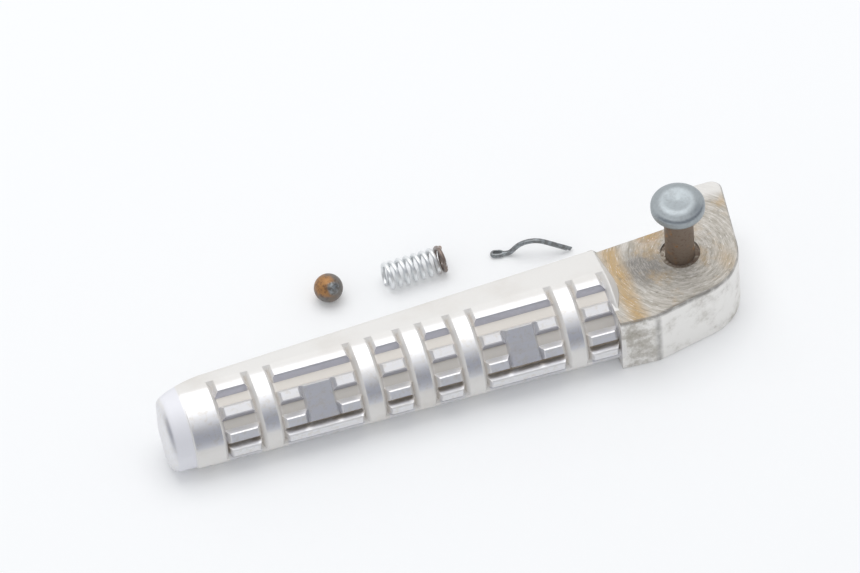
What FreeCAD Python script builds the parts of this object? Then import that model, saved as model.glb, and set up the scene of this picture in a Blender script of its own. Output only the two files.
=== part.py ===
import FreeCAD
import Part
import math
import os
from FreeCAD import Vector

# Motorcycle rear footrest, lying on its side: cast arm with a patterned tread, pivot knuckle with a
# pressed bush, pivot pin standing in it, and its detent ball, detent spring and split pin laid beside it.
# Frame: Z is the pivot axis and z = 0 the surface it lies on. X runs along the arm, the knuckle at +X and
# the tip at -X. The tread faces -Y and up.

# Pivot knuckle
KNUCKLE_THICK = 19.0
KNUCKLE_RADIUS = 15.8
KNUCKLE_EDGE = 0.4
FRONT_WALL_ANGLE = 77.6
END_WALL_ANGLE = 7.2
NECK_X = -23.2
CREASE_X = -12.8
NECK_FRONT_Y = -18.3
REAR_WALL_Y = 9.8
NECK_REAR_Y = 8.2
STOP_LUG_Y = 21.3
STOP_LUG_INNER_X = 9.0
STOP_LUG_FOOT_X = 1.0
STOP_LUG_CORNER = 3.0
STOP_LUG_FILLET = 5.0

# Pivot pin, its bush and the split pin's cross hole
PIN_DIAMETER = 8.0
PIN_GRIP = 35.4
PIN_CHAMFER = 0.6
HEAD_DIAMETER = 14.8
HEAD_HEIGHT = 6.0
HEAD_SEAT_DIAMETER = 10.4
HEAD_CONE_HEIGHT = 1.9
HEAD_EDGE_RADIUS = 1.2
HEAD_CROWN_DIAMETER = 9.6
HEAD_CROWN_RADIUS = 3.2
HEAD_DISH_DEPTH = 0.5
CROSS_HOLE_DIAMETER = 2.2
CROSS_HOLE_HEIGHT = 3.6
PIN_CLEARANCE = 0.06
BUSH_WALL = 1.44
BUSH_RECESS = 0.6

# Detent: blind bore in the face under the knuckle, ball and compression spring
BALL_DIAMETER = 7.94
DETENT_CLEARANCE = 0.18
DETENT_BORE_DEPTH = 15.5
DETENT_BORE_X = -12.4
DETENT_BORE_Y = -4.0
DRILL_POINT_ANGLE = 135.0
SPRING_DIAMETER = 7.8
SPRING_WIRE = 1.2
SPRING_PITCH = 2.25
SPRING_TURNS = 6.5
SPRING_END_TURNS = 0.9
SPRING_END_GAP = 0.03
SPRING_TURN_ANGLE = 2.0
SPRING_WIRE_SIDES = 12
SPRING_PLACE = (-73.9, 32.3)
BALL_PLACE = (-89.8, 33.9)

# Arm: section at its two ends. Angles in the section are seen from the tip, from the tread side upwards.
ROOT_X = -22.0
TIP_X = -149.2
CROWN_RADIUS_ROOT = 15.0
CROWN_RADIUS_TIP = 13.9
FLANK_RADIUS_ROOT = 9.0
FLANK_RADIUS_TIP = 8.2
CROWN_Y_ROOT = -3.9
CROWN_Y_TIP = -1.4
FLANK_ANGLE = 17.0
SIDE_FACE_ANGLE = 102.0
SIDE_FACE_ROOT = 11.0
SIDE_FACE_TIP = 3.9
LOWER_STRIP_ANGLE = -17.0
LOWER_STRIP_INSET = 0.25
LAND_DEPTH = 0.15
BACK_ANGLE = 45.0
BACK_EDGE_RADIUS = 2.2
FLOOR_EDGE_TURN = 6.0
TIP_EDGE_RADIUS = 2.6
TIP_CORNER_RADIUS = 30.0
TIP_CORNER_LENGTH = 18.0
SHOULDER_RUN = 2.2
SHOULDER_DROP = 2.6

# Tread: bands across the arm with cells of raised bars between them, alike on both sides of the middle
TREAD_MIDDLE_X = -78.0
TREAD_DEPTH = 2.0
BAND_WIDTH = 4.6
TIP_BAND_WIDTH = 8.4
NECK_INSET = 0.5
GROOVE_WIDTH = 1.65
GROOVE_DRAFT = 1.1
BAND_END_TURN = 3.0
TREAD_EDGE = 0.3
SHORT_CELL = 6.2
LONG_CELL = 20.8
TIP_CELL = 8.0
ROOT_CELL = 7.0
CENTRE_BLOCK = 7.8
BLOCK_GAP = 1.1
ROW_ANGLES = (89.0, 58.0, 27.0, -3.0)
BAR_WIDTH = 2.85
BAR_DRAFT = 0.8
TOP_ROW_REACH = 104.0
TREAD_PROUD = 0.08

# Split pin: half round wire, its eye flat on the surface and its two legs bent up into an arch
SPLIT_WIRE = 1.3
SPLIT_GAP = 0.1
SPLIT_PLACE = (-44.1, 32.4)
SPLIT_HEADING = -16.0
SPLIT_NECK = 4.0
SPLIT_EYE_HALF = 0.55
SPLIT_EYE_ROUND = 0.54
SPLIT_EYE_BEND = 0.9
SPLIT_EYE_NECK = 0.6
SPLIT_FOOT_BEND = 2.4
SPLIT_ARCH_BEND = 6.5
SPLIT_FOOT = 5.3
SPLIT_ARCH = (10.2, 7.0)
SPLIT_LEG_ENDS = (22.1, 20.9)

DETENT_BORE_RADIUS = BALL_DIAMETER / 2 + DETENT_CLEARANCE
BUSH_BORE_RADIUS = PIN_DIAMETER / 2 + PIN_CLEARANCE
BUSH_RADIUS = BUSH_BORE_RADIUS + BUSH_WALL
OVERLAP = 1.0
TOUCH = 0.05


def polar(radius, angle):
    """Point at a radius and an angle in degrees, as an (a, b) pair."""
    return radius * math.cos(math.radians(angle)), radius * math.sin(math.radians(angle))


def rounded_edges(corners, place, closed):
    """Lines through (a, b, radius) corners, rounded by tangent arcs; place maps (a, b) to space."""
    count = len(corners)
    runs = []
    for index, (a, b, radius) in enumerate(corners):
        if radius == 0 or (not closed and index in (0, count - 1)):
            runs.append((place(a, b),))
            continue
        here = Vector(a, b, 0)
        before = Vector(*corners[index - 1][:2], 0) - here
        after = Vector(*corners[(index + 1) % count][:2], 0) - here
        before.normalize()
        after.normalize()
        half = before.getAngle(after) / 2
        reach = radius / math.tan(half)
        bisector = before + after
        bisector.normalize()
        centre = here + bisector * (radius / math.sin(half))
        middle = centre - bisector * radius
        stops = (here + before * reach, middle, here + after * reach)
        runs.append(tuple(place(stop.x, stop.y) for stop in stops))
    edges = []
    for index, run in enumerate(runs):
        if len(run) == 3:
            edges.append(Part.Arc(*run).toShape())
        if closed or index < count - 1:
            edges.append(Part.makeLine(run[-1], runs[(index + 1) % count][0]))
    return edges


def rounded_prism(corners, low, high):
    """Upright solid between two heights, from (x, y, radius) corners."""
    edges = rounded_edges(corners, lambda a, b: Vector(a, b, low), True)
    return Part.Face(Part.Wire(edges)).extrude(Vector(0, 0, high - low))


def turned(edges):
    """Solid of revolution about Z from edges that start and end on the axis or close on themselves."""
    return Part.Face(Part.Wire(edges)).revolve(Vector(0, 0, 0), Vector(0, 0, 1), 360)


class Section:
    """Cross-section of the arm at one x: crown arc, tighter flank arc under it, and the faces behind them."""

    def __init__(self, x):
        share = (x - ROOT_X) / (TIP_X - ROOT_X)
        self.x = x
        self.crown = CROWN_RADIUS_ROOT + share * (CROWN_RADIUS_TIP - CROWN_RADIUS_ROOT)
        self.flank = FLANK_RADIUS_ROOT + share * (FLANK_RADIUS_TIP - FLANK_RADIUS_ROOT)
        self.side = SIDE_FACE_ROOT + share * (SIDE_FACE_TIP - SIDE_FACE_ROOT)
        step_out, step_up = polar(self.crown - self.flank, FLANK_ANGLE)
        self.flank_up = self.flank - LOWER_STRIP_INSET - LAND_DEPTH
        self.crown_up = self.flank_up - step_up
        self.crown_out = -(CROWN_Y_ROOT + share * (CROWN_Y_TIP - CROWN_Y_ROOT))
        self.flank_out = self.crown_out + step_out

    def space(self, out, up):
        """Point of this section: out is towards the tread side, up is height."""
        return Vector(self.x, -out, up)

    def plane(self, angle, inset=0.0):
        """The (out, up) pair at an angle on the tread's outline, or below it by inset."""
        if angle >= FLANK_ANGLE:
            out, up = polar(self.crown - inset, angle)
            return self.crown_out + out, self.crown_up + up
        out, up = polar(self.flank - inset, angle)
        return self.flank_out + out, self.flank_up + up

    def point(self, angle, inset=0.0):
        return self.space(*self.plane(angle, inset))

    def arc(self, start, end, inset):
        """Arc edge between two angles that lie on the same side of the flank angle."""
        middle = (start + end) / 2
        if middle >= FLANK_ANGLE:
            centre, radius = (self.crown_out, self.crown_up), self.crown - inset
        else:
            centre, radius = (self.flank_out, self.flank_up), self.flank - inset
        points = []
        for angle in (start, middle, end):
            out, up = polar(radius, angle)
            points.append(self.space(centre[0] + out, centre[1] + up))
        return Part.Arc(*points).toShape()

    def land_angle(self):
        """Angle at which the lower strip reaches the flat that the arm lies on."""
        return -math.degrees(math.asin(self.flank_up / (self.flank - LOWER_STRIP_INSET)))

    def back(self, low):
        """The (out, up) corners behind the tread: foot of the back, rear wall, top of the side face."""
        top_out, top_up = self.plane(SIDE_FACE_ANGLE, TREAD_PROUD)
        fall = math.radians(SIDE_FACE_ANGLE - 90)
        rear_out = top_out - self.side * math.cos(fall)
        rear_up = top_up - self.side * math.sin(fall)
        heel_out = 2 * self.flank_out - self.plane(self.land_angle(), LOWER_STRIP_INSET)[0]
        slope = math.tan(math.radians(BACK_ANGLE))
        heel_up = (heel_out - rear_out) * slope
        foot = (heel_out - low / slope, low)
        return [foot, (rear_out, heel_up), (rear_out, rear_up), (top_out, top_up)]

    def core(self):
        """Outline of the casting below the tread's bars and bands."""
        floor_top = SIDE_FACE_ANGLE - FLOOR_EDGE_TURN
        floor_low = LOWER_STRIP_ANGLE + FLOOR_EDGE_TURN
        strip_low = self.land_angle()
        corners = [self.space(*pair) for pair in self.back(0.0)]
        land = self.point(strip_low, LOWER_STRIP_INSET)
        strip_top = self.point(LOWER_STRIP_ANGLE, LOWER_STRIP_INSET)
        return Part.Wire([
            Part.makeLine(corners[-1], self.point(floor_top, TREAD_DEPTH)),
            self.arc(floor_top, FLANK_ANGLE, TREAD_DEPTH),
            self.arc(FLANK_ANGLE, floor_low, TREAD_DEPTH),
            Part.makeLine(self.point(floor_low, TREAD_DEPTH), strip_top),
            self.arc(LOWER_STRIP_ANGLE, strip_low, LOWER_STRIP_INSET),
        ] + Part.makePolygon([land] + corners).Edges)

    def neck(self, inset):
        """Outline of the plain neck at the tip: flush with the side face, a little below the tread."""
        shift = Vector(0, *polar(inset - TREAD_PROUD, SIDE_FACE_ANGLE))
        shift.y = -shift.y
        rounded = [self.arc(SIDE_FACE_ANGLE, FLANK_ANGLE, inset), self.arc(FLANK_ANGLE, -90, inset)]
        for edge in rounded:
            edge.translate(shift)
        low = self.point(-90, inset) + shift
        corners = [low] + [self.space(*pair) for pair in self.back(low.z)]
        return Part.Wire(rounded + Part.makePolygon(corners).Edges)

    def cap(self, inset):
        """Outline of the section's upper part, lowered by inset, with its rear edge rounded."""
        top_out, top_up = self.plane(SIDE_FACE_ANGLE, TREAD_PROUD + inset)
        rear_out, rear_up = self.back(0.0)[2]
        drop = inset / math.sin(math.radians(SIDE_FACE_ANGLE))
        corners = [
            (*self.plane(FLANK_ANGLE, inset), 0.0),
            (rear_out, self.flank_up, 0.0),
            (rear_out, rear_up - drop, BACK_EDGE_RADIUS),
            (top_out, top_up, 0.0),
        ]
        edges = rounded_edges(corners, self.space, False)
        middle = self.point((SIDE_FACE_ANGLE + FLANK_ANGLE) / 2, inset)
        crown = Part.Arc(self.space(top_out, top_up), middle, self.point(FLANK_ANGLE, inset))
        return Part.Wire(edges + [crown.toShape()])

    def band(self, inset):
        """Outline of a band of the tread, closed through the middle of the arm."""
        low = LOWER_STRIP_ANGLE - BAND_END_TURN
        start = self.point(SIDE_FACE_ANGLE, inset)
        end = self.point(low, inset)
        heart = self.space(self.crown_out - OVERLAP, self.flank_up)
        return Part.Wire([
            self.arc(SIDE_FACE_ANGLE, FLANK_ANGLE, inset),
            self.arc(FLANK_ANGLE, low, inset),
            Part.makeLine(end, heart),
            Part.makeLine(heart, start),
        ])


def band(low, high, low_draft=GROOVE_DRAFT, high_draft=GROOVE_DRAFT):
    """One band across the tread, its edges broken and its sides sloped down to the groove floor."""
    foot = TREAD_DEPTH + OVERLAP / 10
    steps = [(low - low_draft, foot), (low, TREAD_EDGE), (low + TREAD_EDGE, 0.0)]
    if high_draft:
        steps += [(high - TREAD_EDGE, 0.0), (high, TREAD_EDGE), (high + high_draft, foot)]
    else:
        steps += [(high, 0.0)]
    return Part.makeLoft([Section(x).band(inset) for x, inset in steps], True, True)


def bar(low, high, upper_angle, lower_angle):
    """Flat-topped bar between two x values and two angles, drafted down into the groove floor."""
    foot = TREAD_DEPTH + OVERLAP / 2
    drafts = foot / TREAD_DEPTH
    levels = (
        (0.0, -TREAD_EDGE, -TREAD_EDGE),
        (TREAD_EDGE, 0.0, 0.0),
        (foot, BAR_DRAFT * drafts, GROOVE_DRAFT * drafts),
    )
    rings = []
    for inset, aside, along in levels:
        ring = []
        for x in (low - along, high + along):
            section = Section(x)
            pair = []
            for angle, turn in ((upper_angle, 90), (lower_angle, -90)):
                out, up = section.plane(angle, inset)
                aside_out, aside_up = polar(aside, angle + turn)
                pair.append(section.space(out + aside_out, up + aside_up))
            ring.extend(reversed(pair) if ring else pair)
        rings.append(ring)
    return block(rings)


def block(rings):
    """Solid through rings of four corners each, closed by its first and last ring."""
    faces = [quad(*rings[0]), quad(*rings[-1])]
    for upper, lower in zip(rings, rings[1:]):
        for index in range(4):
            after = (index + 1) % 4
            faces.append(quad(upper[index], upper[after], lower[after], lower[index]))
    solid = Part.Solid(Part.Shell(faces))
    if solid.Volume < 0:
        solid.reverse()
    return solid


def quad(a, b, c, d):
    """One flat face through four points."""
    return Part.Face(Part.makePolygon([a, b, c, d, a]))


def row_edges(row, x):
    """Upper and lower angle of a bar's top in one row."""
    section = Section(x)
    angle = ROW_ANGLES[row]
    radius = section.crown if angle >= FLANK_ANGLE else section.flank
    half = math.degrees(math.asin(BAR_WIDTH / 2 / radius))
    upper = TOP_ROW_REACH if row == 0 else angle + half
    return upper, angle - half


def short_cell(low, high):
    """Four bars side by side."""
    return [bar(low, high, *row_edges(row, (low + high) / 2)) for row in range(len(ROW_ANGLES))]


def long_cell(low, high):
    """A long bar above and below, and between them four short blocks round one large flat block."""
    middle = (low + high) / 2
    first = middle - CENTRE_BLOCK / 2
    last = middle + CENTRE_BLOCK / 2
    bars = [bar(low, high, *row_edges(row, middle)) for row in (0, 3)]
    for row in (1, 2):
        bars.append(bar(low, first - BLOCK_GAP, *row_edges(row, middle)))
        bars.append(bar(last + BLOCK_GAP, high, *row_edges(row, middle)))
    bars.append(bar(first, last, row_edges(1, middle)[0], row_edges(2, middle)[1]))
    return bars


def tread():
    """Bands and bars, counted outwards from the middle band to both ends."""
    pieces = [band(TREAD_MIDDLE_X - BAND_WIDTH / 2, TREAD_MIDDLE_X + BAND_WIDTH / 2)]
    for side, end_cell in ((-1, TIP_CELL), (1, ROOT_CELL)):
        reach = BAND_WIDTH / 2
        for cell, length in ((short_cell, SHORT_CELL), (long_cell, LONG_CELL), (short_cell, end_cell)):
            near = TREAD_MIDDLE_X + side * (reach + GROOVE_WIDTH)
            far = near + side * length
            pieces.extend(cell(min(near, far), max(near, far)))
            reach += GROOVE_WIDTH + length
            if length != end_cell:
                near = TREAD_MIDDLE_X + side * (reach + GROOVE_WIDTH)
                far = near + side * BAND_WIDTH
                pieces.append(band(min(near, far), max(near, far)))
                reach += GROOVE_WIDTH + BAND_WIDTH
    pieces.append(band(tip_band_x() - TIP_BAND_WIDTH, tip_band_x()))
    rim_x = TREAD_MIDDLE_X + tread_reach(ROOT_CELL)
    pieces.append(band(rim_x, ROOT_X, high_draft=0.0))
    return pieces


def tread_reach(end_cell):
    """Distance from the middle of the tread to the far side of the groove past its end cell."""
    cells = (SHORT_CELL, LONG_CELL, end_cell)
    bands = BAND_WIDTH / 2 + BAND_WIDTH * (len(cells) - 1)
    return bands + sum(cells) + 2 * GROOVE_WIDTH * len(cells)


def tip_band_x():
    """X of the wide tip band's side towards the tread."""
    return TREAD_MIDDLE_X - tread_reach(TIP_CELL)


def shoulder():
    """Sloped end of the arm, from its full section down into the knuckle."""
    outer = Section(ROOT_X)
    inner = Section(ROOT_X)
    inner.x = ROOT_X + SHOULDER_RUN
    return Part.makeLoft([outer.cap(TOUCH), inner.cap(SHOULDER_DROP)], True, True)


def arm():
    """Tapered casting with its tread, rounded at the tip."""
    neck_x = tip_band_x() - TIP_BAND_WIDTH / 2
    core = Part.makeLoft([Section(neck_x).core(), Section(ROOT_X).core()], True, True)
    neck = Part.makeLoft([Section(TIP_X).neck(NECK_INSET), Section(neck_x).neck(NECK_INSET)], True, True)
    solid = core.fuse(neck).removeSplitter()
    solid = solid.cut(tip_corner())
    for radius, chosen in ((BACK_EDGE_RADIUS, on_rear_edge), (TIP_EDGE_RADIUS, on_tip)):
        solid = solid.makeFillet(radius, [e for e in solid.Edges if chosen(e)])
    for piece in tread() + [shoulder()]:
        solid = solid.fuse(piece)
    return solid


def on_tip(edge):
    """True for an edge of the end face of the arm."""
    return edge.BoundBox.XMax < TIP_X + TOUCH


def on_rear_edge(edge):
    """True for the edges where the side face meets the rear wall, round the tip's corner too."""
    ends = [edge.valueAt(edge.FirstParameter), edge.valueAt(edge.LastParameter)]
    backs = [Section(end.x).back(0.0) for end in ends]
    lengthwise = abs(ends[0].x - ends[1].x) > TOUCH
    high = all(end.z > back[2][1] - TOUCH for end, back in zip(ends, backs))
    beside_tread = all(abs(end.y + back[3][0]) < TOUCH for end, back in zip(ends, backs))
    return lengthwise and high and not beside_tread


def tip_corner():
    """What the large rounded corner takes off the rear of the tip."""
    start = TIP_X + TIP_CORNER_LENGTH
    rear = Section(start).back(0.0)[2]
    lead = Section(start + OVERLAP).back(0.0)[2]
    slope = math.atan((rear[0] - lead[0]) / OVERLAP)
    along, across = TIP_CORNER_RADIUS * math.sin(slope), TIP_CORNER_RADIUS * math.cos(slope)
    middle = Vector(start - along, -rear[0] - across, -OVERLAP)
    tall = KNUCKLE_THICK + 2 * OVERLAP
    corner = Vector(TIP_X - OVERLAP, middle.y, -OVERLAP)
    blank = Part.makeBox(middle.x - corner.x, TIP_CORNER_RADIUS + TIP_CORNER_LENGTH, tall, corner)
    return blank.cut(Part.makeCylinder(TIP_CORNER_RADIUS, tall, middle))


def front_wall_y(x):
    """Y of the knuckle's front wall, which is tangent to its round end."""
    out, side = polar(1.0, FRONT_WALL_ANGLE)
    return -(KNUCKLE_RADIUS - x * out) / side


def knuckle():
    """Block round the pivot: round in front, with a square stop lug behind."""
    half_turn = (FRONT_WALL_ANGLE - END_WALL_ANGLE) / 2
    nose_reach = KNUCKLE_RADIUS / math.cos(math.radians(half_turn))
    nose = polar(nose_reach, (FRONT_WALL_ANGLE + END_WALL_ANGLE) / 2)
    end_out, end_side = polar(1.0, END_WALL_ANGLE)
    lug_x = (KNUCKLE_RADIUS + STOP_LUG_Y * end_side) / end_out
    corners = [
        (NECK_X, NECK_FRONT_Y, 0.0),
        (CREASE_X, front_wall_y(CREASE_X), 0.0),
        (nose[0], -nose[1], KNUCKLE_RADIUS),
        (lug_x, STOP_LUG_Y, STOP_LUG_CORNER),
        (STOP_LUG_INNER_X, STOP_LUG_Y, STOP_LUG_CORNER),
        (STOP_LUG_FOOT_X, REAR_WALL_Y, STOP_LUG_FILLET),
        (NECK_X, NECK_REAR_Y, 0.0),
    ]
    solid = rounded_prism(corners, 0.0, KNUCKLE_THICK)
    level = [edge for edge in solid.Edges if edge.BoundBox.ZLength < TOUCH]
    rims = [edge for edge in level if edge.BoundBox.XMax > NECK_X + TOUCH]
    return solid.makeChamfer(KNUCKLE_EDGE, rims)


def detent_bore():
    """Blind drilled bore that takes the detent spring and ball."""
    mouth = Vector(DETENT_BORE_X, DETENT_BORE_Y, -OVERLAP)
    bore = Part.makeCylinder(DETENT_BORE_RADIUS, DETENT_BORE_DEPTH + OVERLAP, mouth)
    point_height = DETENT_BORE_RADIUS / math.tan(math.radians(DRILL_POINT_ANGLE / 2))
    floor = Vector(DETENT_BORE_X, DETENT_BORE_Y, DETENT_BORE_DEPTH)
    return bore.fuse(Part.makeCone(DETENT_BORE_RADIUS, 0, point_height, floor))


def footrest_body():
    """The casting: arm and knuckle in one piece, bored for the bush and the detent."""
    bush_bore = Part.makeCylinder(BUSH_RADIUS, KNUCKLE_THICK + 2 * OVERLAP, Vector(0, 0, -OVERLAP))
    solid = arm().fuse(knuckle())
    solid = solid.cut(bush_bore).cut(detent_bore())
    return solid.removeSplitter()


def pivot_bush():
    """Plain bush pressed into the knuckle, its ends a little below the faces."""
    length = KNUCKLE_THICK - 2 * BUSH_RECESS
    low = Vector(0, 0, BUSH_RECESS)
    outside = Part.makeCylinder(BUSH_RADIUS, length, low)
    return outside.cut(Part.makeCylinder(BUSH_BORE_RADIUS, length, low))


def pivot_pin():
    """Round pin with a dished mushroom head, its lower end on the surface and cross-drilled."""
    radius = PIN_DIAMETER / 2
    head_radius = HEAD_DIAMETER / 2
    top = PIN_GRIP + HEAD_HEIGHT
    corners = [
        (0.0, 0.0, 0.0),
        (radius - PIN_CHAMFER, 0.0, 0.0),
        (radius, PIN_CHAMFER, 0.0),
        (radius, PIN_GRIP, 0.0),
        (HEAD_SEAT_DIAMETER / 2, PIN_GRIP, HEAD_EDGE_RADIUS),
        (head_radius, PIN_GRIP + HEAD_CONE_HEIGHT, HEAD_EDGE_RADIUS),
        (head_radius, top - HEAD_CROWN_RADIUS / 2, HEAD_CROWN_RADIUS / 2),
        (HEAD_CROWN_DIAMETER / 2, top, HEAD_CROWN_RADIUS),
        (0.0, top - HEAD_DISH_DEPTH, 0.0),
    ]
    solid = turned(rounded_edges(corners, lambda a, b: Vector(a, 0, b), True))
    start = Vector(0, -radius - OVERLAP, CROSS_HOLE_HEIGHT)
    length = PIN_DIAMETER + 2 * OVERLAP
    return solid.cut(Part.makeCylinder(CROSS_HOLE_DIAMETER / 2, length, start, Vector(0, 1, 0)))


def detent_ball():
    """Steel ball lying on the surface."""
    radius = BALL_DIAMETER / 2
    return Part.makeSphere(radius, Vector(*BALL_PLACE, radius))


def detent_spring():
    """Compression spring lying on its side, with a closed turn at each end."""
    mean = (SPRING_DIAMETER - SPRING_WIRE) / 2
    end_pitch = SPRING_WIRE + SPRING_END_GAP
    end = (end_pitch, SPRING_END_TURNS)
    edges = []
    height = 0.0
    turned_by = 0.0
    for pitch, turns in (end, (SPRING_PITCH, SPRING_TURNS), end):
        helix = Part.makeHelix(pitch, pitch * turns, mean)
        helix.rotate(Vector(0, 0, 0), Vector(0, 0, 1), turned_by * 360)
        helix.translate(Vector(0, 0, height))
        edges.extend(helix.Edges)
        height += pitch * turns
        turned_by += turns
    path = Part.Wire(edges)
    ring = [polar(SPRING_WIRE / 2, 360 * side / SPRING_WIRE_SIDES) for side in range(SPRING_WIRE_SIDES)]
    corners = [Vector(mean + out, 0, up) for out, up in ring]
    wire_section = Part.makePolygon(corners + corners[:1])
    sweep = Part.BRepOffsetAPI.MakePipeShell(path)
    sweep.setFrenetMode(True)
    sweep.add(wire_section)
    sweep.build()
    sweep.makeSolid()
    spring = sweep.shape()
    spring.rotate(Vector(0, 0, 0), Vector(0, 1, 0), 90)
    spring.rotate(Vector(0, 0, 0), Vector(0, 0, 1), SPRING_TURN_ANGLE)
    spring.translate(Vector(*SPRING_PLACE, SPRING_DIAMETER / 2))
    return spring


def half_round(centre, outward, up):
    """Half round wire section at a point, its flat side on the point and its round side outward."""
    radius = SPLIT_WIRE / 2
    top = centre + up * radius
    low = centre - up * radius
    return Part.Wire([Part.Arc(top, centre + outward * radius, low).toShape(), Part.makeLine(low, top)])


def swept(edges, section, binormal):
    """Solid of a section along joined edges that lie in one plane."""
    sweep = Part.BRepOffsetAPI.MakePipeShell(Part.Wire(edges))
    sweep.setBiNormalMode(binormal)
    sweep.add(section)
    sweep.build()
    sweep.makeSolid()
    return sweep.shape()


def split_pin():
    """Used split pin: flat eye at one end, two legs side by side that rise in an arch."""
    base = SPLIT_WIRE / 2
    half_gap = SPLIT_GAP / 2
    up = Vector(0, 0, 1)
    eye_far = SPLIT_WIRE / 2
    eye_near = SPLIT_NECK - SPLIT_EYE_NECK
    eye_corners = [
        (SPLIT_NECK, half_gap, 0.0),
        (eye_near, half_gap, SPLIT_EYE_BEND),
        (eye_near - SPLIT_EYE_HALF, SPLIT_EYE_HALF, SPLIT_EYE_BEND),
        (eye_far, SPLIT_EYE_HALF, SPLIT_EYE_ROUND),
        (eye_far, -SPLIT_EYE_HALF, SPLIT_EYE_ROUND),
        (eye_near - SPLIT_EYE_HALF, -SPLIT_EYE_HALF, SPLIT_EYE_BEND),
        (eye_near, -half_gap, SPLIT_EYE_BEND),
        (SPLIT_NECK, -half_gap, 0.0),
    ]
    eye_edges = rounded_edges(eye_corners, lambda a, b: Vector(a, b, base), False)
    start = Vector(SPLIT_NECK, half_gap, base)
    pieces = [swept(eye_edges, half_round(start, Vector(0, 1, 0), up), up)]
    for side, end in zip((1, -1), SPLIT_LEG_ENDS):
        fall = (SPLIT_ARCH[1] - base) / (SPLIT_LEG_ENDS[0] - SPLIT_ARCH[0])
        corners = [
            (SPLIT_NECK, base, 0.0),
            (SPLIT_FOOT, base, SPLIT_FOOT_BEND),
            (*SPLIT_ARCH, SPLIT_ARCH_BEND),
            (end, SPLIT_ARCH[1] - fall * (end - SPLIT_ARCH[0]), 0.0),
        ]
        y = side * half_gap
        leg_edges = rounded_edges(corners, lambda a, b: Vector(a, y, b), False)
        outward = Vector(0, side, 0)
        leg_start = Vector(SPLIT_NECK, y, base)
        pieces.append(swept(leg_edges, half_round(leg_start, outward, up), Vector(0, 1, 0)))
    pin = pieces[0].multiFuse(pieces[1:]).removeSplitter()
    pin.rotate(Vector(0, 0, 0), up, SPLIT_HEADING)
    pin.translate(Vector(*SPLIT_PLACE, 0))
    return pin


NODES = {
    "footrest_body": footrest_body,
    "pivot_bush": pivot_bush,
    "pivot_pin": pivot_pin,
    "detent_ball": detent_ball,
    "detent_spring": detent_spring,
    "split_pin": split_pin,
}


def main():
    os.makedirs("parts", exist_ok=True)
    for name, make in NODES.items():
        shape = make()
        if len(shape.Solids) == 1:
            shape = shape.Solids[0]
        print(name, len(shape.Solids), "solid", shape.isValid(), round(shape.Volume, 1), shape.BoundBox)
        shape.exportStep(os.path.join("parts", name + ".step"))


main()
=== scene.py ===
"""Finishes, stage and camera for a motorcycle rear footrest laid on a pale table with its loose hardware."""

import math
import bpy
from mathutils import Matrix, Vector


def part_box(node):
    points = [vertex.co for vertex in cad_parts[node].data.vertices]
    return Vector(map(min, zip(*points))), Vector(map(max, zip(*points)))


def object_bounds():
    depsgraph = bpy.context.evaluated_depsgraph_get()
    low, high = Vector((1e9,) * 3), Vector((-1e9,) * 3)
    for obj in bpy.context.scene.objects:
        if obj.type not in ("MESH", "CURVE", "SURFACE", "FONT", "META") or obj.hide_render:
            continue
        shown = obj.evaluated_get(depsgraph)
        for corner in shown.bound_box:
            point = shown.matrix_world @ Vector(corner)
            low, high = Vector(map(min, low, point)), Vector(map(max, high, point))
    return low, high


bl_info = {
    "name": "Rear Footrest",
    "version": (1, 0, 0),
    "blender": (4, 5, 0),
    "location": "View3D > Sidebar > Footrest",
    "description": "Dresses a cast footrest, its pivot pin and its loose hardware, and sets the stage",
    "category": "3D View",
}

import bpy
from bpy.props import FloatProperty, FloatVectorProperty, PointerProperty
from mathutils import Matrix, Vector

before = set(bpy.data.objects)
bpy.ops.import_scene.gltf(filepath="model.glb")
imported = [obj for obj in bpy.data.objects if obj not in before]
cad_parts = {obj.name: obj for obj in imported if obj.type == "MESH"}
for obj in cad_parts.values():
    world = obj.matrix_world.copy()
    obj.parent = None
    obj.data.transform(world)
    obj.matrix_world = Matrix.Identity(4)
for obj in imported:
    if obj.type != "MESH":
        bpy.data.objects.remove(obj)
cad_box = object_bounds()

IMAGE_WIDTH = 860
IMAGE_HEIGHT = 573
SENSOR_WIDTH = 36.0
MILLIMETRES = 1000.0
FLOOR_DROP = 0.0001
WHITE = (1.0, 1.0, 1.0, 1.0)
ROOM_TINT = (0.97, 0.985, 1.0, 1.0)
CLIP_SHARE = 20

# Grey card: its mesh and how far it reaches round the part
CARD_COLUMNS = 24
CARD_ROWS = 6
CARD_SWEEP = math.radians(200.0)

# Cells of bars, as distances from the tread's middle in mm, and the gaps between their rows in radians
CELL_SPANS = ((3.6, 10.5), (17.7, 39.1), (46.5, 55.7))
CELL_BLUR = 0.3
UPPER_GAP = 0.90
LOWER_GAP = 0.34
GAP_REACH = 0.10

# Knuckle's top face: middle of its dark wear and of its stains, in mm from the pivot
WEAR_X = -10.5
WEAR_Y = -1.5
ARM_STAIN_X = -18.0
REAR_STAIN_X = -6.0
NOSE_STAIN_X = 11.0
NOSE_STAIN_Y = -7.0

# Ball: two directions over its visible side, and the middles of its rust and of its bare patch, in mm
BALL_ACROSS = (0.96, -0.27)
BALL_OVER = (0.2, 0.74, 0.64)
BALL_RUST = (-1.1, 0.7)
BALL_BARE = (1.3, -0.2)


def length(name, description, default):
    """A length in metres for the sidebar."""
    return FloatProperty(name=name, description=description, default=default, unit="LENGTH")


def angle(name, description, degrees):
    """An angle for the sidebar, written in degrees."""
    return FloatProperty(
        name=name, description=description, default=math.radians(degrees), unit="ROTATION"
    )


def amount(name, description, default):
    """A plain number for the sidebar."""
    return FloatProperty(name=name, description=description, default=default)


def colour(name, description, default):
    """A colour for the sidebar, linear red, green and blue."""
    return FloatVectorProperty(
        name=name, description=description, default=default, subtype="COLOR", size=3, min=0.0, max=1.0
    )


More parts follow.
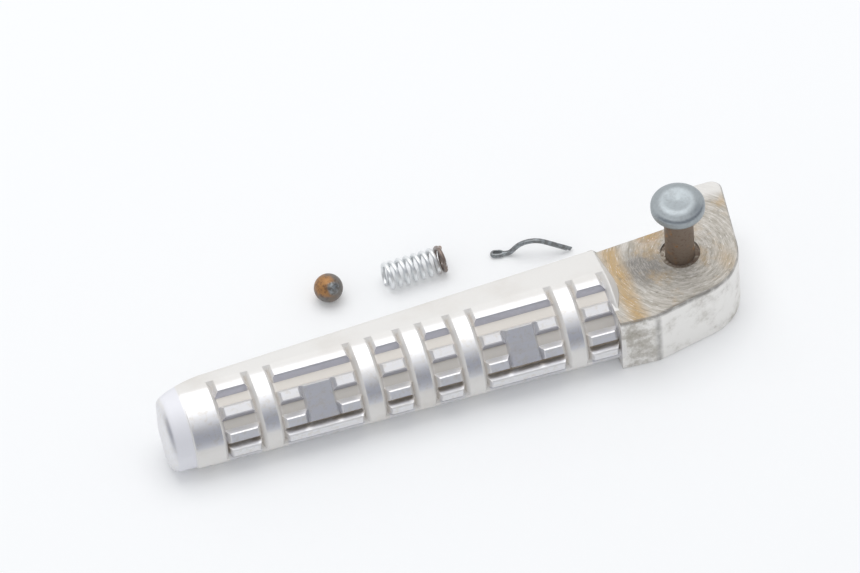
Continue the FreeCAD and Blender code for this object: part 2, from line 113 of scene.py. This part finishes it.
class FootrestArm(bpy.types.PropertyGroup):
    """Where the arm's tread lies, so that its tops and grooves can be told apart."""

    root: amount("Root", "X of the arm's end at the knuckle, in mm", -22.0)
    tip: amount("Tip", "X of the arm's free end, in mm", -149.2)
    crown_root: amount("Crown radius, root", "Radius of the tread's upper arc at the root, in mm", 15.0)
    crown_tip: amount("Crown radius, tip", "Radius of the tread's upper arc at the tip, in mm", 13.9)
    flank_root: amount("Flank radius, root", "Radius of the tread's lower arc at the root, in mm", 9.0)
    flank_tip: amount("Flank radius, tip", "Radius of the tread's lower arc at the tip, in mm", 8.2)
    out_root: amount("Crown offset, root", "Crown centre from the pivot line at the root, in mm", 3.9)
    out_tip: amount("Crown offset, tip", "Crown centre from the pivot line at the tip, in mm", 1.4)
    strip: amount("Underside inset", "Flank centre below its radius, in mm", 0.4)
    join: angle("Arc join", "Angle at which the two arcs meet", 17.0)
    side: angle("Side face", "Angle at which the tread ends in the side face", 103.0)
    polish_high: angle("Polish, upper", "Angle above which the tread is left matte", 93.0)
    wall: angle("Front wall", "Direction that the knuckle's front wall faces, from the arm's line", 77.6)
    round_end: amount("Knuckle radius", "Radius of the knuckle's round end, in mm", 15.8)
    pin_seat: amount("Pin seat", "Height of the underside of the pin's head, in mm", 35.6)
    knuckle: amount("Knuckle thickness", "Height of the knuckle's worn face, in mm", 19.0)
    crease: amount("Crease", "X of the bend in the knuckle's front wall, in mm", -12.8)
    middle: amount("Tread middle", "X of the tread's middle band, in mm", -78.0)
    neck: amount("Neck", "X at which the tread ends in the plain tip, in mm", -142.8)
    polish_low: angle("Polish, lower", "Angle below which the bands are left matte", 23.0)


class FootrestColours(bpy.types.PropertyGroup):
    """Colours of the finishes."""

    cast: colour("Cast metal", "Matte cast aluminium", (0.78, 0.765, 0.745))
    cast_warm: colour("Cast shade", "Warmer patches of the cast aluminium", (0.67, 0.635, 0.595))
    chalk: colour("Chalky metal", "Pale oxide on the knuckle's walls", (0.89, 0.875, 0.85))
    neck: colour("Tip", "Pale satin metal of the plain tip", (0.78, 0.78, 0.82))
    polished: colour("Polished metal", "Tread tops worn smooth", (0.80, 0.80, 0.82))
    # Shaded flank: painted shade, a dark colour on the bars' downward-facing flanks that stands in for their
    # shade and dark reflection
    shade: colour("Shaded flank", "Burnished undersides of the tread's bars", (0.40, 0.40, 0.45))
    valley: colour("Valley", "Dusty metal between the tread's bars", (0.68, 0.645, 0.60))
    # Grime: real dirt on the knuckle's walls, also used as painted shade under the tread's bars
    grime_and_shade: colour("Grime", "Dirt in the grooves", (0.30, 0.25, 0.19))
    # Soot: dark dirt on the knuckle, also used as painted shade in the tread's lower valleys and in the
    # knuckle wall's crease
    soot_and_shade: colour("Soot", "Dark dirt in creases", (0.10, 0.09, 0.08))
    smoke: colour("Dark wear", "Dark grey wear on the knuckle", (0.17, 0.16, 0.15))
    worn: colour("Worn face", "Grey face of the knuckle", (0.36, 0.33, 0.28))
    ochre: colour("Ochre", "Yellow rust stain on the knuckle", (0.47, 0.30, 0.11))
    rust: colour("Rust", "Orange rust stain", (0.40, 0.20, 0.07))
    rust_dark: colour("Dark rust", "Brown rust", (0.13, 0.07, 0.04))
    steel: colour("Steel", "Dull grey steel", (0.36, 0.395, 0.415))
    shaft: colour("Pin shaft", "Brown-grey shaft of the pivot pin", (0.21, 0.16, 0.122))
    zinc: colour("Zinc", "Bright zinc plating", (0.80, 0.82, 0.83))
    wire: colour("Wire", "Dark steel wire", (0.22, 0.225, 0.23))
    floor: colour("Floor", "Pale table", (0.95, 0.955, 0.965))
    card: colour("Card", "Grey card that the polished metal mirrors", (0.20, 0.215, 0.27))


class FootrestStage(bpy.types.PropertyGroup):
    """Camera, floor and lights."""

    azimuth: angle("Azimuth", "Camera's turn round the pivot axis", -15.4)
    elevation: angle("Elevation", "Camera's height above the table", 50.0)
    roll: angle("Roll", "Lean of the camera", 4.0)
    distance: length("Distance", "Camera to the pivot", 4.0)
    scale: amount("Scale", "Pixels per millimetre at the pivot", 3.7)
    pivot_x: amount("Pivot column", "Image column of the pivot hole's centre", 680.0)
    pivot_y: amount("Pivot row", "Image row of the pivot hole's centre", 252.5)
    floor_size: length("Floor", "Half width of the table", 3.0)
    floor_glow: amount("Floor glow", "Share of the floor that shows plain white", 0.08)
    sky: amount("Room light", "Strength of the even light from all round", 0.74)
    key_power: amount("Softbox power", "Watts of the overhead softbox", 6.2)
    key_size: length("Softbox size", "Width of the overhead softbox", 1.1)
    key_height: length("Softbox height", "Softbox above the table", 1.25)
    key_back: length("Softbox setback", "Softbox behind the part", 0.35)
    card_radius: length("Card radius", "Distance of the grey card", 1.1)
    card_top: angle("Card top", "Elevation of the card's upper edge", 47.0)


class FootrestSettings(bpy.types.PropertyGroup):
    """All settings of the footrest."""

    arm: PointerProperty(type=FootrestArm)
    colours: PointerProperty(type=FootrestColours)
    stage: PointerProperty(type=FootrestStage)


def settings():
    return bpy.context.scene.footrest


class Wire:
    """One socket of a finish, so that shader maths can be written as Python expressions."""

    def __init__(self, finish, socket):
        self.finish = finish
        self.socket = socket

    def maths(self, operation, *values):
        return self.finish.node("ShaderNodeMath", {"operation": operation}, dict(enumerate(values)))

    def __add__(self, other):
        return self.maths("ADD", self, other)

    def __radd__(self, other):
        return self.maths("ADD", other, self)

    def __sub__(self, other):
        return self.maths("SUBTRACT", self, other)

    def __rsub__(self, other):
        return self.maths("SUBTRACT", other, self)

    def __mul__(self, other):
        return self.maths("MULTIPLY", self, other)

    def __truediv__(self, other):
        return self.maths("DIVIDE", self, other)

    def __pow__(self, other):
        return self.maths("POWER", self, other)

    def __abs__(self):
        return self.maths("ABSOLUTE", self)

    def turn(self, across):
        """Angle of the pair (across, self), in radians."""
        return self.maths("ARCTAN2", self, across)

    def most(self, other):
        return self.maths("MAXIMUM", self, other)

    def rise(self, low, high):
        """0 below low, 1 above high, smooth between; low above high gives a fall."""
        start, end, first, last = (low, high, 0.0, 1.0) if low < high else (high, low, 1.0, 0.0)
        return self.finish.node(
            "ShaderNodeMapRange",
            {"interpolation_type": "SMOOTHSTEP"},
            {"Value": self, "From Min": start, "From Max": end, "To Min": first, "To Max": last},
        )

    def near(self, middle, reach):
        """1 at middle, falling smoothly to 0 at reach either side."""
        return abs(self - middle).rise(reach, 0.0)


class Finish:
    """A procedural material or world: one surface shader and the nodes that feed it."""

    def __init__(self, owner, output="ShaderNodeOutputMaterial"):
        owner.use_nodes = True
        self.owner = owner
        self.output = output
        self.tree = owner.node_tree
        self.tree.nodes.clear()

    def node(self, kind, options=None, inputs=None, output=0):
        """Adds one node with its options and its sockets' values or links; gives the asked output, if any."""
        made = self.tree.nodes.new(kind)
        for key, value in (options or {}).items():
            setattr(made, key, value)
        for key, value in (inputs or {}).items():
            if isinstance(value, Wire):
                self.tree.links.new(value.socket, made.inputs[key])
            else:
                made.inputs[key].default_value = value
        return Wire(self, made.outputs[output]) if made.outputs else None

    def coordinates(self, output):
        return self.node("ShaderNodeTexCoord", output=output)

    def place(self):
        """Position on the piece in millimetres, as x, y and z."""
        return tuple(axis * MILLIMETRES for axis in self.split("Object"))

    def facing(self):
        """The surface's own direction, as x, y and z."""
        return self.split("Normal")

    def split(self, output):
        """One kind of coordinates as three wires."""
        first = self.node("ShaderNodeSeparateXYZ", {}, {0: self.coordinates(output)})
        return tuple(Wire(self, socket) for socket in first.socket.node.outputs)

    def seen(self):
        """1 for what the camera sees, straight, in a mirror or through glass."""
        rays = self.node("ShaderNodeLightPath").socket.node.outputs
        direct, mirrored = Wire(self, rays["Is Camera Ray"]), Wire(self, rays["Is Glossy Ray"])
        return direct.most(mirrored).most(Wire(self, rays["Is Transmission Ray"]))

    def noise(self, scale, detail=4.0, roughness=0.55, stretch=(1.0, 1.0, 1.0), offset=0.0):
        """Noise from 0 to 1 with scale features in a metre, stretched along the axes."""
        moved = self.node(
            "ShaderNodeVectorMath",
            {"operation": "MULTIPLY_ADD"},
            {0: self.coordinates("Object"), 1: stretch, 2: (offset, offset, offset)},
        )
        return self.node(
            "ShaderNodeTexNoise",
            {},
            {"Vector": moved, "Scale": scale, "Detail": detail, "Roughness": roughness},
        )

    def blend(self, first, second, share):
        """Colour that goes from first to second as share goes from 0 to 1."""
        first, second = (v if isinstance(v, Wire) else (*v, 1.0) for v in (first, second))
        return self.node("ShaderNodeMix", {"data_type": "RGBA"}, {0: share, 6: first, 7: second}, 2)

    def bump(self, height, depth, strength=1.0):
        """Surface relief: height from 0 to 1 stands for depth metres."""
        return self.node("ShaderNodeBump", {}, {"Height": height, "Distance": depth, "Strength": strength})

    def surface(self, **inputs):
        """Ends the finish in a principled shader; sockets are named with underscores for spaces."""
        named = {key.replace("_", " "): value for key, value in inputs.items()}
        for key, value in named.items():
            if isinstance(value, tuple) and len(value) == 3 and "Color" in key:
                named[key] = (*value, 1.0)
        shader = self.node("ShaderNodeBsdfPrincipled", {}, named)
        return self.end(shader)

    def end(self, shader):
        self.node(self.output, {}, {"Surface": shader})
        return self.owner


def new_finish(name):
    return Finish(bpy.data.materials.new(name))


def dress(node, material):
    """Gives a node of the part its finish."""
    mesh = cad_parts[node].data
    mesh.materials.clear()
    mesh.materials.append(material)


def tread_shape(arm, x, y, z, normal_y, normal_z):
    """Depth below the tread's outline in mm, angle round it, and how far the surface faces out and up it."""
    share = (x - arm.root) * (1.0 / (arm.tip - arm.root))
    crown = share * (arm.crown_tip - arm.crown_root) + arm.crown_root
    flank = share * (arm.flank_tip - arm.flank_root) + arm.flank_root
    crown_out = share * (arm.out_tip - arm.out_root) + arm.out_root
    flank_up = flank - arm.strip
    step = crown - flank
    crown_up = flank_up - step * math.sin(arm.join)
    flank_out = crown_out + step * math.cos(arm.join)
    across, above = 0.0 - y - crown_out, z - crown_up
    reach = (across * across + above * above) ** 0.5
    low_across, low_above = 0.0 - y - flank_out, z - flank_up
    low_reach = (low_across * low_across + low_above * low_above) ** 0.5
    turn = above.turn(across)
    on_crown = turn.rise(arm.join - 0.01, arm.join + 0.01)
    depth = on_crown * (crown - reach) + (1.0 - on_crown) * (flank - low_reach)
    square = on_crown * (above * normal_z - across * normal_y) / reach
    low_square = (1.0 - on_crown) * (low_above * normal_z - low_across * normal_y) / low_reach
    lean = (across * normal_z + above * normal_y) / reach
    return depth, turn, square + low_square, lean


def tread_cells(arm, x):
    """Mask of the cells of bars between the tread's bands."""
    aside = abs(x - arm.middle)
    inner, outer, ends = (
        aside.rise(near - CELL_BLUR, near + CELL_BLUR) * aside.rise(far + CELL_BLUR, far - CELL_BLUR)
        for near, far in CELL_SPANS
    )
    return inner + outer + ends


def casting_finish():
    """Cast aluminium: matte arm, polished tread with dirt and painted shade between its bars and painted
    shade on their lower flanks, worn and stained knuckle.
    """
    arm, tint = settings().arm, settings().colours
    f = new_finish("cast_aluminium")
    x, y, z = f.place()
    normal_x, normal_y, normal_z = f.facing()
    depth, turn, square, lean = tread_shape(arm, x, y, z, normal_y, normal_z)
    on_arm = x.rise(arm.root - 0.9, arm.root - 1.6) * x.rise(arm.neck - 0.3, arm.neck + 0.3)
    in_front = turn.rise(-1.2, -1.0) * turn.rise(arm.side + 0.03, arm.side)
    on_tread = on_arm * in_front * depth.rise(-0.6, -0.3) * depth.rise(2.8, 2.4)
    cells = tread_cells(arm, x)
    worn_high = turn.rise(arm.polish_high + 0.06, arm.polish_high - 0.06)
    worn_low = turn.rise(arm.polish_low - 0.05, arm.polish_low + 0.05)
    rubbed = worn_high * (cells + (1.0 - cells) * worn_low)
    top = on_tread * depth.rise(1.5, 1.2) * square.rise(0.7, 0.88) * rubbed
    floor = on_tread * depth.rise(1.3, 1.75) * square.rise(0.5, 0.8) * cells
    flank = on_tread * square.rise(0.85, 0.6) * cells * worn_high
    # Downward-facing lower flanks of the bars, which get painted shade
    under = flank * lean.rise(-0.25, -0.6)
    end_edge = x.rise(arm.tip + 2.8, arm.tip + 1.6) * normal_x.rise(-0.25, -0.6)

    grain = f.noise(1600.0, 3.0)
    cloud = f.noise(55.0, 5.0, 0.6)
    patch = f.noise(160.0, 4.0, 0.6, offset=0.3)
    mottle = f.noise(700.0, 4.0, 0.6, offset=5.1)
    scratch = f.noise(260.0, 3.0, 0.6, stretch=(0.25, 4.0, 4.0), offset=0.7)

    matte = f.blend(tint.cast, tint.cast_warm, cloud.rise(0.45, 0.8) * 0.6)
    scuffed = scratch.rise(0.45, 0.7) * 0.5 + mottle.rise(0.45, 0.65) * 0.45
    bright = f.blend(tint.polished, tint.cast, scuffed)
    smooth = top.most(flank).most(end_edge)
    plain = f.blend(matte, tint.neck, x.rise(arm.neck + 0.3, arm.neck - 0.3))
    tone = f.blend(plain, bright, smooth)
    # Painted shade on the bars' lower flanks
    tone = f.blend(tone, tint.shade, under * 0.85)
    dulled = mottle.rise(0.5, 0.72) * 0.45 + patch.rise(0.55, 0.75) * 0.3
    tone = f.blend(tone, tint.valley, top * dulled)
    groove = on_tread * depth.rise(0.6, 1.4) * (1.0 - cells)
    tone = f.blend(tone, tint.cast_warm, groove * (patch.rise(0.3, 0.7) * 0.4 + 0.5))
    tone = f.blend(tone, tint.valley, floor)
    # Dark lines under the bars: grime with painted shade where the bars shade the valley floor
    gaps = turn.near(UPPER_GAP, GAP_REACH).most(turn.near(LOWER_GAP, GAP_REACH))
    shade_and_grime_under_bar = gaps + turn.rise(0.42, 0.30) * turn.rise(0.02, 0.12)
    tone = f.blend(tone, tint.grime_and_shade, floor * shade_and_grime_under_bar * (patch.rise(0.25, 0.6) * 0.5 + 0.15))
    # Painted shade in the lower valleys, in a dark dirt colour broken up by patches
    tone = f.blend(tone, tint.soot_and_shade, floor * turn.rise(0.42, 0.25) * patch.rise(0.4, 0.65) * 0.55)
    # Foot of the lowest bars: grime with painted shade where the bar above shades it
    shade_and_grime_foot = on_tread * cells * depth.rise(0.7, 1.5) * turn.rise(0.42, 0.30) * turn.rise(0.0, 0.06)
    tone = f.blend(tone, tint.grime_and_shade, shade_and_grime_foot * (patch.rise(0.25, 0.6) * 0.5 + 0.3))

    knuckle, swirl = knuckle_tone(f, x, y, z, normal_y, normal_z)
    beside_arm = x.rise(arm.root - 1.8, arm.root - 1.4) * depth.rise(-0.3, -0.6)
    past_arm = x.rise(arm.root - 0.2, arm.root + 0.2).most(beside_arm)
    on_knuckle = past_arm * z.rise(arm.knuckle + 0.2, arm.knuckle + 0.05)
    tone = f.blend(tone, knuckle, on_knuckle)

    on_face = on_knuckle * normal_z.rise(0.8, 0.95)
    rough = 0.55 + grain * 0.1 - smooth * 0.25 + (scratch + mottle) * smooth * 0.1 - on_face * 0.12
    metal = 0.3 + smooth * 0.65 - on_face * 0.1
    height = grain * (1.0 - smooth) * 0.5 + scratch * top * 0.12 + on_face * swirl * 0.5
    return f.surface(Base_Color=tone, Roughness=rough, Metallic=metal, Normal=f.bump(height, 0.0001, 0.6))


def knuckle_tone(f, x, y, z, normal_y, normal_z):
    """Colour of the knuckle: ring-worn, rust-stained top face and dirty pale walls, with painted shade in the
    wall's crease and beside the arm's end.
    """
    arm, tint = settings().arm, settings().colours
    radius = (x * x + y * y) ** 0.5
    round_hole = f.node("ShaderNodeCombineXYZ", {}, {0: radius, 1: y.turn(x) * 2.2, 2: 0.0})
    swirl, streak = (
        f.node(
            "ShaderNodeTexNoise",
            {},
            {"Vector": round_hole, "Scale": scale, "Detail": detail, "Roughness": roughness},
        )
        for scale, detail, roughness in ((1.1, 6.0, 0.75), (2.6, 4.0, 0.7))
    )
    blotch = f.noise(120.0, 5.0, 0.6, offset=1.7)
    speck = f.noise(420.0, 4.0, 0.6, offset=2.9)
    wander = (blotch - 0.5) * 9.0

    face = f.blend(tint.worn, tint.cast_warm, swirl.rise(0.35, 0.65) * 0.8)
    beside = ((x - WEAR_X) ** 2.0 + (y - WEAR_Y) ** 2.0) ** 0.5 + wander
    face = f.blend(face, tint.smoke, beside.rise(9.5, 3.0) * (streak.rise(0.35, 0.6) * 0.6 + 0.3))
    by_arm = (x + wander * 0.4).near(ARM_STAIN_X, 4.0)
    by_rear = (y + wander * 0.4).rise(5.0, 8.5) * x.near(REAR_STAIN_X, 6.0)
    by_nose = (x + wander * 0.4).near(NOSE_STAIN_X, 4.0) * y.near(NOSE_STAIN_Y, 7.0) * 0.5
    ochre = by_arm.most(by_rear).most(by_nose) * (swirl.rise(0.3, 0.6) * 0.5 + 0.4)
    face = f.blend(face, tint.ochre, ochre.most(blotch.rise(0.5, 0.68) * 0.45))
    face = f.blend(face, tint.rust, by_rear * speck.rise(0.4, 0.6) * 0.6)
    arcs = streak.rise(0.56, 0.68) * (beside.rise(2.0, 9.0) * 0.6 + 0.2)
    face = f.blend(face, tint.cast, arcs)
    face = f.blend(face, tint.soot_and_shade, streak.rise(0.43, 0.33) * 0.5 + speck.rise(0.58, 0.75) * 0.4)
    face = f.blend(face, tint.cast, (y + wander * 0.3).rise(14.5, 18.0) * 0.8)
    outward = x * math.cos(arm.wall) - y * math.sin(arm.wall)
    brink = (outward + wander * 0.12).rise(arm.round_end - 1.3, arm.round_end - 0.2)
    face = f.blend(face, tint.soot_and_shade, brink * 0.65)

    lip = z.rise(arm.knuckle - 1.6, arm.knuckle - 0.4) * (speck.rise(0.3, 0.6) * 0.6 + 0.3)
    # Crease: painted shade where the arm's end meets the knuckle's front wall, in a dark colour with specks
    crease = x.near(arm.crease, 1.5) * normal_y.rise(-0.6, -0.9) * (speck.rise(0.3, 0.6) * 0.5 + 0.4)
    smudge = f.noise(150.0, 6.0, 0.7, offset=4.4)
    # Wall between the crease and the arm: painted shade from the arm's end, mixed into the smudges
    inner = x.rise(arm.crease + 0.5, arm.crease - 2.0) * 0.6
    wall = f.blend(tint.chalk, tint.worn, smudge.rise(0.46, 0.75) * 0.5 + inner * smudge.rise(0.35, 0.55))
    wall = f.blend(wall, tint.grime_and_shade, smudge.rise(0.58, 0.78) * speck.rise(0.35, 0.6) * 0.5)
    wall = f.blend(wall, tint.soot_and_shade, (lip * 0.7).most(crease * 0.6))
    return f.blend(wall, face, normal_z.rise(0.6, 0.85)), swirl


def rusty_steel(name, clean, stained, share, scale):
    """Steel with rust blooming through it in patches: the finish, its colour, the rust and its flecks."""
    tint = settings().colours
    f = new_finish(name)
    bloom = f.noise(scale, 6.0, 0.65)
    fleck = f.noise(scale * 5.0, 4.0, 0.6, offset=0.9)
    rust = (bloom * 0.75 + fleck * 0.25).rise(0.62 - share * 0.4, 0.78 - share * 0.4)
    tone = f.blend(clean, stained, rust)
    tone = f.blend(tone, tint.rust_dark, fleck.rise(0.5, 0.72) * 0.55)
    return f, tone, rust, fleck


def bush_finish():
    """Dull bush, brown with rust."""
    tint = settings().colours
    f, tone, rust, fleck = rusty_steel("bush_steel", tint.worn, tint.shaft, 0.5, 300.0)
    return f.surface(
        Base_Color=tone,
        Roughness=0.4 + rust * 0.3,
        Metallic=0.75 - rust * 0.5,
        Normal=f.bump(fleck, 0.00008, 0.6),
    )


def pin_finish():
    """Pivot pin: brown mottled shaft and a smoother grey head."""
    arm, tint = settings().arm, settings().colours
    f, stained, _, fleck = rusty_steel("pin_steel", tint.shaft, tint.rust, 0.2, 260.0)
    z = f.place()[2]
    head = z.rise(arm.pin_seat - 0.3, arm.pin_seat + 0.3)
    plain = f.blend(tint.steel, tint.wire, fleck.rise(0.4, 0.75) * 0.3)
    return f.surface(
        Base_Color=f.blend(stained, plain, head),
        Roughness=0.50 + fleck * 0.1 - head * 0.14,
        Metallic=0.25 + head * 0.5,
        Normal=f.bump(fleck, 0.0001, 0.5),
    )


def ball_finish():
    """Ball rusted on one side, dull grey steel on the other."""
    tint = settings().colours
    f, stained, _, fleck = rusty_steel("ball_steel", tint.shaft, tint.smoke, 0.5, 240.0)
    low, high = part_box("detent_ball")
    middle = [(a + b) / 2 * MILLIMETRES for a, b in zip(low, high)]
    x, y, z = (axis - value for axis, value in zip(f.place(), middle))
    across = x * BALL_ACROSS[0] + y * BALL_ACROSS[1]
    over = x * BALL_OVER[0] + y * BALL_OVER[1] + z * BALL_OVER[2]
    ragged = (f.noise(420.0, 5.0, 0.6, offset=3.3) - 0.5) * 3.0
    from_rust, from_bare = (
        ((across - spot[0]) ** 2.0 + (over - spot[1]) ** 2.0) ** 0.5 for spot in (BALL_RUST, BALL_BARE)
    )
    bloom = (from_rust + ragged).rise(3.7, 2.1)
    bare = (from_bare + ragged * 0.5).rise(2.1, 1.3)
    plain = f.blend(tint.steel, tint.smoke, fleck.rise(0.3, 0.6))
    rusted = f.blend(tint.rust, tint.rust_dark, fleck.rise(0.42, 0.68) * 0.75)
    tone = f.blend(f.blend(stained, rusted, bloom), plain, bare)
    return f.surface(
        Base_Color=tone,
        Roughness=0.45 - bare * 0.15 + fleck * 0.1,
        Metallic=0.3 + bare * 0.4,
        Normal=f.bump(fleck, 0.00006, 0.5),
    )


def spring_finish():
    """Bright plated wire that darkens with dirt at one end."""
    tint = settings().colours
    f = new_finish("spring_steel")
    x = f.place()[0]
    grain = f.noise(2200.0, 3.0)
    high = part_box("detent_spring")[1][0] * MILLIMETRES
    dirty = x.rise(high - 4.5, high - 1.5) * f.noise(500.0, 3.0, offset=1.3).rise(0.25, 0.5)
    tone = f.blend(tint.zinc, tint.rust_dark, dirty * 0.85)
    return f.surface(
        Base_Color=tone,
        Roughness=0.3 + grain * 0.12,
        Metallic=0.9 - dirty * 0.3,
        Normal=f.bump(grain, 0.00004, 0.4),
    )


def split_pin_finish():
    """Dark dull wire, paler where it is rubbed."""
    tint = settings().colours
    f = new_finish("split_pin_steel")
    grain = f.noise(900.0, 4.0)
    tone = f.blend(tint.wire, tint.steel, grain.rise(0.4, 0.7))
    return f.surface(
        Base_Color=tone, Roughness=0.38 + grain * 0.15, Metallic=0.85, Normal=f.bump(grain, 0.00005, 0.4)
    )


class FOOTREST_OT_casting(bpy.types.Operator):
    """Dress the cast arm and knuckle"""

    bl_idname = "footrest.casting"
    bl_label = "Casting"

    def execute(self, context):
        dress("footrest_body", casting_finish())
        return {"FINISHED"}


class FOOTREST_OT_pivot(bpy.types.Operator):
    """Dress the pivot pin and its bush"""

    bl_idname = "footrest.pivot"
    bl_label = "Pivot"

    def execute(self, context):
        dress("pivot_bush", bush_finish())
        dress("pivot_pin", pin_finish())
        return {"FINISHED"}


class FOOTREST_OT_detent(bpy.types.Operator):
    """Dress the detent ball and spring"""

    bl_idname = "footrest.detent"
    bl_label = "Detent"

    def execute(self, context):
        dress("detent_ball", ball_finish())
        dress("detent_spring", spring_finish())
        return {"FINISHED"}


class FOOTREST_OT_split_pin(bpy.types.Operator):
    """Dress the split pin"""

    bl_idname = "footrest.split_pin"
    bl_label = "Split Pin"

    def execute(self, context):
        dress("split_pin", split_pin_finish())
        return {"FINISHED"}


def add_object(name, data):
    made = bpy.data.objects.new(name, data)
    bpy.context.scene.collection.objects.link(made)
    return made


def add_mesh(name, points, faces, material):
    mesh = bpy.data.meshes.new(name)
    mesh.from_pydata(points, [], faces)
    mesh.materials.append(material)
    return add_object(name, mesh)


def floor_finish():
    """Pale table that keeps shadows and shows near white to the camera and in mirrors."""
    tint, stage = settings().colours, settings().stage
    f = new_finish("table")
    dull = f.node("ShaderNodeBsdfDiffuse", {}, {"Color": (*tint.floor, 1.0)})
    glow = f.node("ShaderNodeEmission", {}, {"Color": WHITE, "Strength": 1.0})
    return f.end(f.node("ShaderNodeMixShader", {}, {0: f.seen() * stage.floor_glow, 1: dull, 2: glow}))


def card_finish():
    """Even grey glow."""
    f = new_finish("grey_card")
    shine = f.node("ShaderNodeEmission", {}, {"Color": (*settings().colours.card, 1.0), "Strength": 1.0})
    return f.end(shine)


def make_floor():
    """Square table just under the part."""
    half = settings().stage.floor_size
    corners = [(-half, -half), (half, -half), (half, half), (-half, half)]
    floor = add_mesh("table", [(a, b, -FLOOR_DROP) for a, b in corners], [(0, 1, 2, 3)], floor_finish())


def make_card():
    """Curved grey card in front of the part, seen only in its reflections."""
    stage = settings().stage
    points = []
    for row in range(CARD_ROWS + 1):
        rise = stage.card_top * row / CARD_ROWS
        for column in range(CARD_COLUMNS + 1):
            turn = -math.pi / 2 + CARD_SWEEP * (column / CARD_COLUMNS - 0.5)
            flat = stage.card_radius * math.cos(rise)
            points.append((flat * math.cos(turn), flat * math.sin(turn), stage.card_radius * math.sin(rise)))
    faces = []
    for row in range(CARD_ROWS):
        for column in range(CARD_COLUMNS):
            first = row * (CARD_COLUMNS + 1) + column
            above = first + CARD_COLUMNS + 1
            faces.append((first, first + 1, above + 1, above))
    card = add_mesh("grey_card", points, faces, card_finish())
    card.location.x = sum(corner[0] for corner in cad_box) / 2
    card.visible_camera = False
    card.visible_diffuse = False
    card.visible_shadow = False
    card.visible_transmission = False


def make_room():
    """Even light from all round, white where the camera or a mirror sees it."""
    world = bpy.data.worlds.new("room")
    bpy.context.scene.world = world
    f = Finish(world, "ShaderNodeOutputWorld")
    light = f.node("ShaderNodeBackground", {}, {"Color": ROOM_TINT, "Strength": settings().stage.sky})
    white = f.node("ShaderNodeBackground", {}, {"Color": WHITE, "Strength": 1.0})
    f.end(f.node("ShaderNodeMixShader", {}, {0: f.seen(), 1: light, 2: white}))


def make_softbox():
    """Large square lamp overhead, a little behind the part."""
    stage = settings().stage
    lamp = bpy.data.lights.new("softbox", "AREA")
    lamp.energy = stage.key_power
    lamp.size = stage.key_size
    softbox = add_object("softbox", lamp)
    middle = (Vector(cad_box[0]) + Vector(cad_box[1])) / 2
    softbox.location = (middle.x, middle.y + stage.key_back, stage.key_height)
    softbox.rotation_euler = (middle - softbox.location).to_track_quat("-Z", "Y").to_euler()


def make_camera():
    """Camera at the picture's angle, placed so that the pivot hole's centre lands on its own pixel."""
    stage, arm = settings().stage, settings().arm
    sin_a, cos_a = math.sin(stage.azimuth), math.cos(stage.azimuth)
    sin_e, cos_e = math.sin(stage.elevation), math.cos(stage.elevation)
    back = Vector((sin_a * cos_e, -cos_a * cos_e, sin_e))
    level = Vector((cos_a, sin_a, 0.0))
    rise = back.cross(level)
    right = level * math.cos(stage.roll) - rise * math.sin(stage.roll)
    above = level * math.sin(stage.roll) + rise * math.cos(stage.roll)
    per_metre = stage.scale * MILLIMETRES
    pivot = Vector((0.0, 0.0, arm.knuckle / MILLIMETRES))
    aside = (stage.pivot_x - IMAGE_WIDTH / 2) / per_metre
    over = (IMAGE_HEIGHT / 2 - stage.pivot_y) / per_metre
    data = bpy.data.cameras.new("camera")
    data.sensor_width = SENSOR_WIDTH
    data.lens = SENSOR_WIDTH * per_metre * stage.distance / IMAGE_WIDTH
    data.clip_start = stage.distance / CLIP_SHARE
    data.clip_end = stage.distance * CLIP_SHARE
    camera = add_object("camera", data)
    place = Matrix((right, above, back)).transposed().to_4x4()
    place.translation = pivot - right * aside - above * over + back * stage.distance
    camera.matrix_world = place
    bpy.context.scene.camera = camera


class FOOTREST_OT_stage(bpy.types.Operator):
    """Add the table, lights and camera"""

    bl_idname = "footrest.stage"
    bl_label = "Stage"

    def execute(self, context):
        make_floor()
        make_card()
        make_room()
        make_softbox()
        make_camera()
        context.scene.view_settings.view_transform = "Standard"
        return {"FINISHED"}


class FOOTREST_PT_panel(bpy.types.Panel):
    """Pieces and stage of the footrest"""

    bl_idname = "FOOTREST_PT_panel"
    bl_label = "Rear Footrest"
    bl_space_type = "VIEW_3D"
    bl_region_type = "UI"
    bl_category = "Footrest"

    def draw(self, context):
        for step in STEPS:
            self.layout.operator(step.bl_idname)
        for group in (settings().arm, settings().colours, settings().stage):
            box = self.layout.box()
            for name in group.__annotations__:
                box.prop(group, name)


STEPS = (
    FOOTREST_OT_casting,
    FOOTREST_OT_pivot,
    FOOTREST_OT_detent,
    FOOTREST_OT_split_pin,
    FOOTREST_OT_stage,
)
CLASSES = (FootrestArm, FootrestColours, FootrestStage, FootrestSettings, *STEPS, FOOTREST_PT_panel)


def register():
    for each in CLASSES:
        bpy.utils.register_class(each)
    bpy.types.Scene.footrest = PointerProperty(type=FootrestSettings)


def unregister():
    del bpy.types.Scene.footrest
    for each in reversed(CLASSES):
        bpy.utils.unregister_class(each)


def main():
    register()
    bpy.ops.footrest.casting()
    bpy.ops.footrest.pivot()
    bpy.ops.footrest.detent()
    bpy.ops.footrest.split_pin()
    bpy.ops.footrest.stage()


if __name__ == "__main__":
    main()
